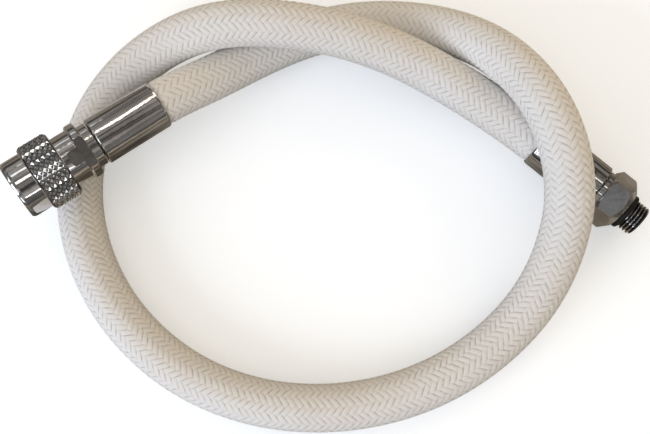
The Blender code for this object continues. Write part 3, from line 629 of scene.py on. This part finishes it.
PANES = ((30.0, 20.5, 0.010), (34.8, 19.0, 0.014), (41.0, 20.5, 0.018), (46.4, 22.0, 0.007))
for number, (back, angle, pane) in enumerate(PANES, 1):
    streak(f"pane_{number}", coupler_frame, FERRULE_RADIUS, back, angle, pane, 0.130, 6.5, WARM)
streak("streak_nose", coupler_frame, NOSE_RADIUS, 3.6, 13.0, 0.10, 0.120, 2.6)
streak("streak_nose_edge", coupler_frame, NOSE_RADIUS, 3.6, -18.0, 0.14, 0.060, 3.4)
streak("streak_nose_side", coupler_frame, NOSE_RADIUS, 4.0, 29.0, 0.10, 0.110, 1.3, (0.92, 0.96, 1.0))
streak("streak_low", coupler_frame, 7.65, 17.0, 41.0, 0.10, 0.090, 0.9, (0.88, 0.94, 1.0))
streak("streak_port", port_frame, FERRULE_RADIUS, 17.0, -13.0, 0.12, 0.035, 2.8)
streak("streak_port_side", port_frame, 6.50, 14.5, 8.0, 0.12, 0.035, 2.8)
streak("streak_port_low", port_frame, 7.60, 12.0, 28.0, 0.08, 0.060, 1.4, (0.90, 0.95, 1.0))

# %% [markdown]
# The knurl needs its own lamps. The slopes of its points lean along the fitting
# as well as round it, so they mirror other places in the room: to the left, and
# towards the top and the near side of the picture. A soft lamp in each of them
# makes the points glitter.

# %% Glitter
for name, way, glow, colour in (
    ("glitter_left", (-0.745, 0.064, 0.667), 3.0, BLUISH),
    ("glitter_top", (0.321, 0.852, 0.419), 3.0, (1.0, 0.95, 0.88)),
    ("glitter_near", (-0.20, -0.90, 0.32), 1.6, BLUISH),
):
    lamp = soft_light(name, Vector(way) * 0.9, (-0.08, -0.01, 0.03), 0.30, 0.22, glow, colour)
    lamp.visible_diffuse = False
mirrored_only = [lamp for lamp in scene.objects if lamp.type == "LIGHT" and not lamp.visible_diffuse]
print("lamps that only mirrors show:", len(mirrored_only))

# %% Rubber
rubber = Nodes(bpy.data.materials.new("ring_rubber"))
on_rubber = rubber.add("TexCoord").outputs["Object"]
dusty = rubber.noise(on_rubber, 300.0)
rubber.bump(rubber.noise(on_rubber, 3000.0, 3.0), 0.00001)
rubber.surface(
    base_color=rubber.mix(dusty, (0.008, 0.008, 0.008, 1.0), (0.022, 0.021, 0.020, 1.0)),
    roughness=rubber.ramp(dusty, 0.3, 0.7, 0.42, 0.64),
    specular_ior_level=0.25,
)

# %% [markdown]
# ## Turned pieces
#
# Ferrules, stem, barrel and sleeve all come off a lathe, so their shape is one
# outline turned round an axis. Blender's Spin does the same to a row of edges.
# The outlines below are typed in millimetres, as a turner would read them: the
# radius, then how far back from the fitting's free end. A real turned edge is
# never quite sharp, and chrome shows that as a thin bright line, so every
# corner of the outline is softened first.

# %% Lathe


def softened(outline, size):
    """The outline with each corner drawn in to a small curve."""
    result = []
    corners = [Vector(corner) for corner in outline]
    for i, corner in enumerate(corners):
        before, after = corners[i - 1] - corner, corners[(i + 1) % len(corners)] - corner
        cut = min(size, 0.42 * before.length, 0.42 * after.length)
        start, end = corner + before.normalized() * cut, corner + after.normalized() * cut
        for t in (0.0, 0.33, 0.67, 1.0):
            result.append(start * (1 - t) ** 2 + corner * 2 * t * (1 - t) + end * t**2)
    return result


def lathe(outline, steps=144, soft=0.10):
    """A closed ring turned from a closed outline of (radius, back) in millimetres."""
    bm = bmesh.new()
    points = softened(outline, soft) if soft else outline
    verts = [bm.verts.new((radius * MM, 0.0, -back * MM)) for radius, back in points]
    edges = [bm.edges.new(pair) for pair in zip(verts, verts[1:] + verts[:1])]
    bmesh.ops.spin(
        bm, geom=verts + edges, axis=(0, 0, 1), cent=(0, 0, 0), angle=2 * math.pi, steps=steps, use_merge=True
    )
    bmesh.ops.remove_doubles(bm, verts=bm.verts, dist=1e-7)
    bmesh.ops.recalc_face_normals(bm, faces=bm.faces)
    return bm


def as_object(name, bm, frame):
    """The bmesh as an object at the origin, moved to the fitting's place if a frame is given."""
    if frame is not None:
        bmesh.ops.transform(bm, matrix=frame, verts=bm.verts)
    mesh = bpy.data.meshes.new(name)
    bm.to_mesh(mesh)
    bm.free()
    obj = bpy.data.objects.new(name, mesh)
    scene.collection.objects.link(obj)
    return obj


def block(size, place=(0, 0, 0)):
    """A plain block. Its size and place are in millimetres."""
    bm = bmesh.new()
    bmesh.ops.create_cube(bm, size=1.0)
    bmesh.ops.scale(bm, vec=Vector(size) * MM, verts=bm.verts)
    bmesh.ops.translate(bm, vec=Vector(place) * MM, verts=bm.verts)
    return bm


def carve(obj, tool_bm, frame, operation="DIFFERENCE"):
    """Cuts or keeps a piece with a helper shape, and takes the helper away."""
    tool = as_object("helper", tool_bm, frame)
    cut = obj.modifiers.new("carve", "BOOLEAN")
    cut.operation, cut.solver, cut.object = operation, "EXACT", tool
    bpy.context.view_layer.update()
    evaluated = obj.evaluated_get(bpy.context.evaluated_depsgraph_get())
    mesh = bpy.data.meshes.new_from_object(evaluated)
    obj.modifiers.clear()
    obj.data = mesh
    mesh.name = obj.name
    bpy.data.objects.remove(tool)


def dress(obj, material, slot, body, *nodes, sharp=28.0):
    """Shades a piece, gives it its finish, attaches it to what it rides on and hides the solids that it stands
    for.
    """
    obj.data.shade_smooth()
    obj.data.set_sharp_from_angle(angle=math.radians(sharp))
    obj.modifiers.new("flats stay flat", "WEIGHTED_NORMAL").keep_sharp = True
    obj.data.materials.clear()
    obj.data.materials.append(material)
    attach(obj, body)
    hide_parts(*nodes)
    print(obj.name + ":", sum(len(face.vertices) - 2 for face in obj.data.polygons), "triangles")
    return obj


# %% [markdown]
# ## Ferrules
#
# A ferrule is the sleeve that a press squeezes on the hose's end. It hooks
# behind the fitting's neck with a lip, its front rim is bevelled, and its mouth
# opens a little so that it doesn't cut the braid. Both ends have the same one.

# %% Ferrules


def ferrule(name, fitting_length, frame):
    """A fitting's ferrule. It ends where the fitting does, and its lip is at its front."""
    steps = [
        (6.50, 0.0), (FERRULE_RADIUS, 0.48), (FERRULE_RADIUS, 20.9), (7.12, 21.38), (7.00, FERRULE_LENGTH),
        (6.74, FERRULE_LENGTH), (6.50, 20.9), (6.50, 1.5), (4.80, 1.5), (4.80, 0.0),
    ]
    front = fitting_length - FERRULE_LENGTH
    return as_object(name, lathe([(radius, front + back) for radius, back in steps]), frame)


ferrule_left = ferrule("coupler_ferrule_dressed", COUPLER_LENGTH, coupler_frame)
ferrule_right = ferrule("port_ferrule_dressed", PORT_LENGTH, port_frame)
dress(ferrule_left, coupler_chrome, "chrome", "hose", "coupler_ferrule")
dress(ferrule_right, port_chrome, "chrome", "hose", "port_ferrule")

# %% [markdown]
# ## Stem of the coupler
#
# The stem carries everything: a cup that the barrel sits in, a collar with two
# spanner flats, a neck, and a barbed tail inside the hose. The flats are milled
# after turning, so they are cut from the turned shape with a rounded helper.

# %% Stem
COUPLER_NECK_END, PORT_NECK_END = 26.3, 15.2
TAIL_LENGTH, BARBS, BARB_PITCH = 19.8, 5, 2.4
FLAT_WIDTH, FLAT_LENGTH, FLATS_MIDDLE, FLATS_TURN = 9.8, 6.75, 20.625, -4.0


def barbed_tail(neck_end):
    """Groove, flange and barbs behind a neck that ends at the given place."""
    tail_end = neck_end + TAIL_LENGTH
    flange, flange_end = neck_end + 2.1, neck_end + 3.6
    outline = [(4.5, neck_end), (4.5, flange), (5.8, flange), (5.8, flange_end), (2.6, flange_end)]
    for number in range(BARBS):
        start = tail_end - (BARBS - number) * BARB_PITCH
        outline += [(2.6, start), (2.9, start)]
    return outline + [(2.6, tail_end), (1.7, tail_end)]


stem_front = [
    (7.35, 14.6), (7.65, 14.9), (7.65, 20.75), (8.15, 20.75), (8.65, 21.25), (8.65, 23.15), (8.15, 23.7),
    (6.75, 23.7), (6.75, COUPLER_NECK_END),
]
stem_bore = [(1.7, 29.1), (2.7, 29.1), (2.7, 19.5), (5.8, 19.5), (5.8, 14.6)]
stem_outline = stem_front + barbed_tail(COUPLER_NECK_END) + stem_bore
stem = as_object("stem_dressed", lathe(stem_outline, soft=0.14), coupler_frame)
for side in (1, -1):
    mill = block((2.4, FLAT_WIDTH, FLAT_LENGTH))
    round_off = [
        edge for edge in mill.edges
        if all(vert.co.z > 0 for vert in edge.verts) and edge.verts[0].co.y * edge.verts[1].co.y > 0
    ]
    bmesh.ops.bevel(
        mill, geom=round_off, offset=4.5 * MM, segments=16, affect="EDGES", profile=0.5, material=-1
    )
    bmesh.ops.translate(mill, vec=(side * 8.5 * MM, 0, -FLATS_MIDDLE * MM), verts=mill.verts)
    turn = Matrix.Rotation(math.radians(FLATS_TURN), 3, "Z")
    bmesh.ops.rotate(mill, cent=(0, 0, 0), matrix=turn, verts=mill.verts)
    carve(stem, mill, coupler_frame)
dress(stem, coupler_chrome, "chrome", "hose", "hose_stem")

# %% [markdown]
# ## Barrel and its ring
#
# Inside the sleeve is the barrel that takes the plug, with six holes for the
# locking balls and an open ring that stops the sleeve. Only a look into the
# mouth shows them, but the coupler is empty without them.

# %% Barrel
BALL_BACK, BALL_OUT, BALL_RADIUS = 7.0, 5.35, 1.25
ball_angles = [math.radians(60 * (number + 0.5)) for number in range(6)]
barrel_outline = [
    (5.8, 0.7), (6.1, 1.0), (6.1, 1.4), (5.5, 1.4), (5.5, 2.8), (6.1, 2.8), (6.1, 14.3), (5.5, 14.3),
    (5.5, 18.0), (3.2, 18.0), (3.2, 12.2), (4.9, 12.2), (4.9, 11.2), (5.6, 11.2), (5.6, 9.4), (4.9, 9.4),
    (4.9, 1.0), (5.2, 0.7),
]
barrel = as_object("barrel_dressed", lathe(barrel_outline, steps=96, soft=0.06), coupler_frame)
for angle in ball_angles:
    drill = bmesh.new()
    bmesh.ops.create_cone(
        drill, cap_ends=True, segments=32, radius1=1.0 * MM, radius2=1.6 * MM, depth=3.0 * MM
    )
    outward = Matrix.Rotation(angle, 4, "Z") @ Matrix.Rotation(math.pi / 2, 4, "Y")
    hole = Matrix.Translation((0, 0, -BALL_BACK * MM)) @ outward @ Matrix.Translation((0, 0, 5.5 * MM))
    bmesh.ops.transform(drill, matrix=hole, verts=drill.verts)
    carve(barrel, drill, coupler_frame)
dress(barrel, coupler_chrome, "chrome", "hose", "coupler_barrel")

snap_outline = [(7.7, 1.7), (7.7, 2.5), (5.8, 2.5), (5.8, 1.7)]
snap_ring = as_object("snap_ring_dressed", lathe(snap_outline, steps=96, soft=0.08), coupler_frame)
carve(snap_ring, block((1.5, 15.4, 3.2), (0, 7.7, -1.7)), coupler_frame)
dress(snap_ring, ring_steel, "steel", "hose", "sleeve_retaining_ring")

# %% [markdown]
# ## Sleeve and knurl
#
# The sleeve has a smooth nose and a grip. The grip was knurled: two hard wheels
# pressed slanting grooves into the turning metal, and a small diamond was left
# standing between each four grooves. A texture would shine like flat metal, so
# the diamonds are modelled. A coarse ring of squares is turned, each square is
# poked into four triangles, and dissolving the squares' own edges joins the
# triangles in pairs. That leaves exactly the slanting net of a knurl, and every
# diamond is then inset and raised.

# %% Sleeve
NOSE_END, SLEEVE_END = 6.3, 15.7
NOTCH_WIDTH, NOTCH_DEPTH = 1.4, 1.4
sleeve_outline = [
    (8.20, 0.0), (8.50, 0.2), (8.75, 0.7), (NOSE_RADIUS, 1.4), (NOSE_RADIUS, NOSE_END), (9.40, NOSE_END),
    (9.85, 6.75), (9.85, 15.25), (9.40, SLEEVE_END), (7.95, SLEEVE_END), (7.95, 8.0), (6.75, 8.0), (6.75, 7.0),
    (7.35, 3.0), (7.35, 2.8), (8.0, 2.8), (8.0, 0.2), (8.06, 0.0),
]
sleeve = as_object("sleeve_dressed", lathe(sleeve_outline, soft=0.09), coupler_frame)
carve(sleeve, block((40, NOTCH_WIDTH, 2 * NOTCH_DEPTH)), coupler_frame)
dress(sleeve, coupler_chrome, "chrome", "sleeve", "knurled_sleeve")

# %% Knurl
AROUND, ROWS = 34, 5
KNURL_FLOOR, FIRST_ROW, LAST_ROW = 9.93, 6.78, 15.22
band = [(KNURL_FLOOR, FIRST_ROW + (LAST_ROW - FIRST_ROW) * row / ROWS) for row in range(ROWS + 1)]
knurl = lathe([(9.70, 6.55)] + band + [(9.70, 15.45), (9.3, 15.0), (9.3, 7.0)], steps=AROUND, soft=0)


def in_band(face):
    """Whether every corner of a face lies on the knurl's floor."""
    return all(abs(math.hypot(v.co.x, v.co.y) / MM - KNURL_FLOOR) < 0.001 for v in face.verts)


squares = [face for face in knurl.faces if in_band(face)]
inside = [
    edge for edge in knurl.edges
    if len(edge.link_faces) == 2 and all(in_band(face) for face in edge.link_faces)
]
bmesh.ops.poke(knurl, faces=squares)
bmesh.ops.dissolve_edges(knurl, edges=inside, use_verts=False)


def lies_on_floor(face):
    """Whether a face's middle is on the knurl's floor and between its ends."""
    middle = face.calc_center_median() / MM
    return math.hypot(middle.x, middle.y) > KNURL_FLOOR - 0.12 and FIRST_ROW < -middle.z < LAST_ROW


diamonds = [face for face in knurl.faces if len(face.verts) == 4 and lies_on_floor(face)]
halves = [face for face in knurl.faces if len(face.verts) == 3 and lies_on_floor(face)]
for faces, step_in, step_out in ((diamonds, 0.50, 0.36), (halves, 0.26, 0.20)):
    for thickness, depth in ((step_in, step_out), (0.06, 0.035)):
        bmesh.ops.inset_individual(
            knurl, faces=faces, thickness=thickness * MM, depth=depth * MM, use_even_offset=True
        )
print("knurl:", len(diamonds), "diamonds and", len(halves), "halves")
grip = as_object("knurl_dressed", knurl, coupler_frame)
dress(grip, knurl_chrome, "chrome", "sleeve", "knurled_sleeve", sharp=20.0)

# %% [markdown]
# ## Port fitting
#
# The other end screws into the regulator. Its hexagon starts as a six-sided bar
# whose corners are then turned down at both ends, which leaves the curved
# facets of every nut and bolt. So the same two shapes are made here, a bar and
# a turned envelope, and a Boolean keeps what both have.

# %% Hexagon
HEX_ACROSS, HEX_FRONT, HEX_BACK = 15.2, 5.95, 14.05
hex_corner = HEX_ACROSS / math.sqrt(3)
bar = bmesh.new()
bmesh.ops.create_cone(
    bar, cap_ends=True, segments=6, radius1=hex_corner * MM, radius2=hex_corner * MM, depth=12 * MM
)
bmesh.ops.translate(bar, vec=(0, 0, -10 * MM), verts=bar.verts)
long_edges = [edge for edge in bar.edges if abs(edge.verts[0].co.z - edge.verts[1].co.z) > MM]
bmesh.ops.bevel(bar, geom=long_edges, offset=0.12 * MM, segments=2, affect="EDGES", profile=0.5, material=-1)
envelope = [
    (6.1, HEX_FRONT), (hex_corner + 0.1, HEX_FRONT + 2.45), (hex_corner + 0.1, HEX_BACK - 1.45),
    (7.1, HEX_BACK), (2.6, HEX_BACK), (2.6, HEX_FRONT),
]
hexagon = as_object("hexagon_dressed", lathe(envelope, steps=192, soft=0.06), port_frame)
carve(hexagon, bar, port_frame, "INTERSECT")
dress(hexagon, port_chrome, "chrome", "hose", "port_fitting", sharp=12.0)

port_front = [(3.5, 3.0), (3.5, 9.0), (6.5, 9.0), (6.5, PORT_NECK_END)]
port_bore = [(1.7, HEX_BACK), (2.0, HEX_BACK), (2.0, 3.0)]
port_outline = port_front + barbed_tail(PORT_NECK_END) + port_bore
port_stem = as_object("port_stem_dressed", lathe(port_outline, steps=96), port_frame)
dress(port_stem, port_chrome, "chrome", "hose", "port_fitting")

# %% [markdown]
# ## Thread
#
# The thread is a groove that climbs 1.06 mm in every turn. Spin makes it when
# each step also moves along the axis. The coil that comes out has ragged ends,
# so planes cut them off, the cuts are filled, and a turned envelope gives the
# thread its chamfered start and run-out.

# %% Thread
PITCH, CREST, ROOT, THREAD_END = 25.4 / 24, 4.76, 4.12, 3.9
TURNS, STEPS = 6, 96
coil = bmesh.new()
groove = [(ROOT, 0.0), (ROOT, 0.09), (CREST, 0.38), (CREST, 0.62), (ROOT, 0.91), (ROOT, 1.0)]
verts = [coil.verts.new((radius * MM, 0.0, -(share * PITCH - 1.4) * MM)) for radius, share in groove]
edges = [coil.edges.new(pair) for pair in zip(verts, verts[1:])]
bmesh.ops.spin(
    coil, geom=verts + edges, axis=(0, 0, 1), cent=(0, 0, 0), dvec=(0, 0, -PITCH * MM / STEPS),
    angle=-2 * math.pi * TURNS, steps=TURNS * STEPS,
)
bmesh.ops.remove_doubles(coil, verts=coil.verts, dist=2e-6)
for back, side in ((-0.3, 1), (THREAD_END + 0.3, -1)):
    bmesh.ops.bisect_plane(
        coil, geom=coil.verts[:] + coil.edges[:] + coil.faces[:], plane_co=(0, 0, -back * MM),
        plane_no=(0, 0, side), clear_outer=True,
    )
    rim = [
        edge for edge in coil.edges
        if edge.is_boundary and all(abs(v.co.z + back * MM) < 1e-7 for v in edge.verts)
    ]
    bmesh.ops.contextual_create(coil, geom=rim)
bmesh.ops.recalc_face_normals(coil, faces=coil.faces)
print("thread coil: open edges", sum(edge.is_boundary for edge in coil.edges))
thread = as_object("thread_dressed", coil, port_frame)
chamfered = [
    (4.2, 0.0), (5.0, 0.75), (5.0, 3.45), (4.2, THREAD_END), (2.0, THREAD_END), (2.0, 0.35), (2.35, 0.0),
]
carve(thread, lathe(chamfered, steps=96, soft=0), port_frame, "INTERSECT")
dress(thread, thread_chrome, "chrome", "hose", "port_fitting", sharp=25.0)

# %% [markdown]
# ## Rings, balls and valve
#
# The small pieces are turned as well. A rubber ring's outline is a circle, and
# the pin's outline starts and ends on the axis, so it closes by itself.

# %% Rubber rings


def ring(name, radius, section, back, frame):
    """A rubber ring with a round section. Its sizes and place are in millimetres."""
    circle = [
        (radius + section / 2 * math.cos(a), back + section / 2 * math.sin(a))
        for a in (2 * math.pi * i / 20 for i in range(20))
    ]
    return as_object(name, lathe(circle, steps=96, soft=0), frame)


port_ring = ring("port_ring_dressed", 4.69, 1.78, 5.06, port_frame)
dress(port_ring, rubber.owner, "rubber", "hose", "port_o_ring")
plug_ring = ring("plug_ring_dressed", 4.9, 1.2, 10.3, coupler_frame)
dress(plug_ring, rubber.owner, "rubber", "hose", "plug_o_ring")

# %% Balls and valve
for number, angle in enumerate(ball_angles, 1):
    ball = bmesh.new()
    bmesh.ops.create_uvsphere(ball, u_segments=32, v_segments=20, radius=BALL_RADIUS * MM)
    place = Vector((BALL_OUT * math.cos(angle), BALL_OUT * math.sin(angle), -BALL_BACK)) * MM
    bmesh.ops.translate(ball, vec=place, verts=ball.verts)
    name = f"locking_ball_{number}"
    dress(as_object(name + "_dressed", ball, coupler_frame), ring_steel, "steel", f"ball_{number}", name)

core_outline = [(2.4, 13.5), (2.4, 25.3), (1.0, 25.3), (1.0, 19.8), (1.9, 19.8), (1.9, 13.5)]
core = as_object("valve_core_dressed", lathe(core_outline, steps=72, soft=0.08), coupler_frame)
dress(core, valve_brass, "brass", "hose", "valve_core")
pin_outline = [
    (0.0, 11.6), (0.5, 11.6), (0.7, 11.8), (0.7, 14.0), (1.6, 14.0), (1.6, 14.6), (0.7, 14.6), (0.7, 26.5),
    (1.9, 26.5), (1.9, 27.3), (0.0, 27.3),
]
pin = as_object("valve_pin_dressed", lathe(pin_outline, steps=48, soft=0), coupler_frame)
dress(pin, valve_brass, "brass", "pin", "valve_pin")

for name in ("stem_o_ring", "valve_seal"):
    for place in frame["nodes"][name].material_slots:
        place.link = "OBJECT"
        place.material = rubber.owner
print("kept as built: one ring and one seal")

# %% [markdown]
# ## Springs
#
# The solids of the two springs already have the right coils, so each one is
# copied. A spring gets shorter as the piece that it pushes moves, so each copy
# is told which joint presses it, which end stays, and what is left of it.

# %% Springs
for name, joint, travel in (("sleeve_spring", "sleeve_slide", 4.0), ("valve_spring", "pin_slide", 1.5)):
    coils = bmesh.new()
    coils.from_mesh(frame["nodes"][name].data)
    bmesh.ops.remove_doubles(coils, verts=coils.verts, dist=1e-6)
    spring = dress(as_object(name + "_dressed", coils, None), ring_steel, "steel", "hose", name, sharp=40.0)
    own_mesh(spring)
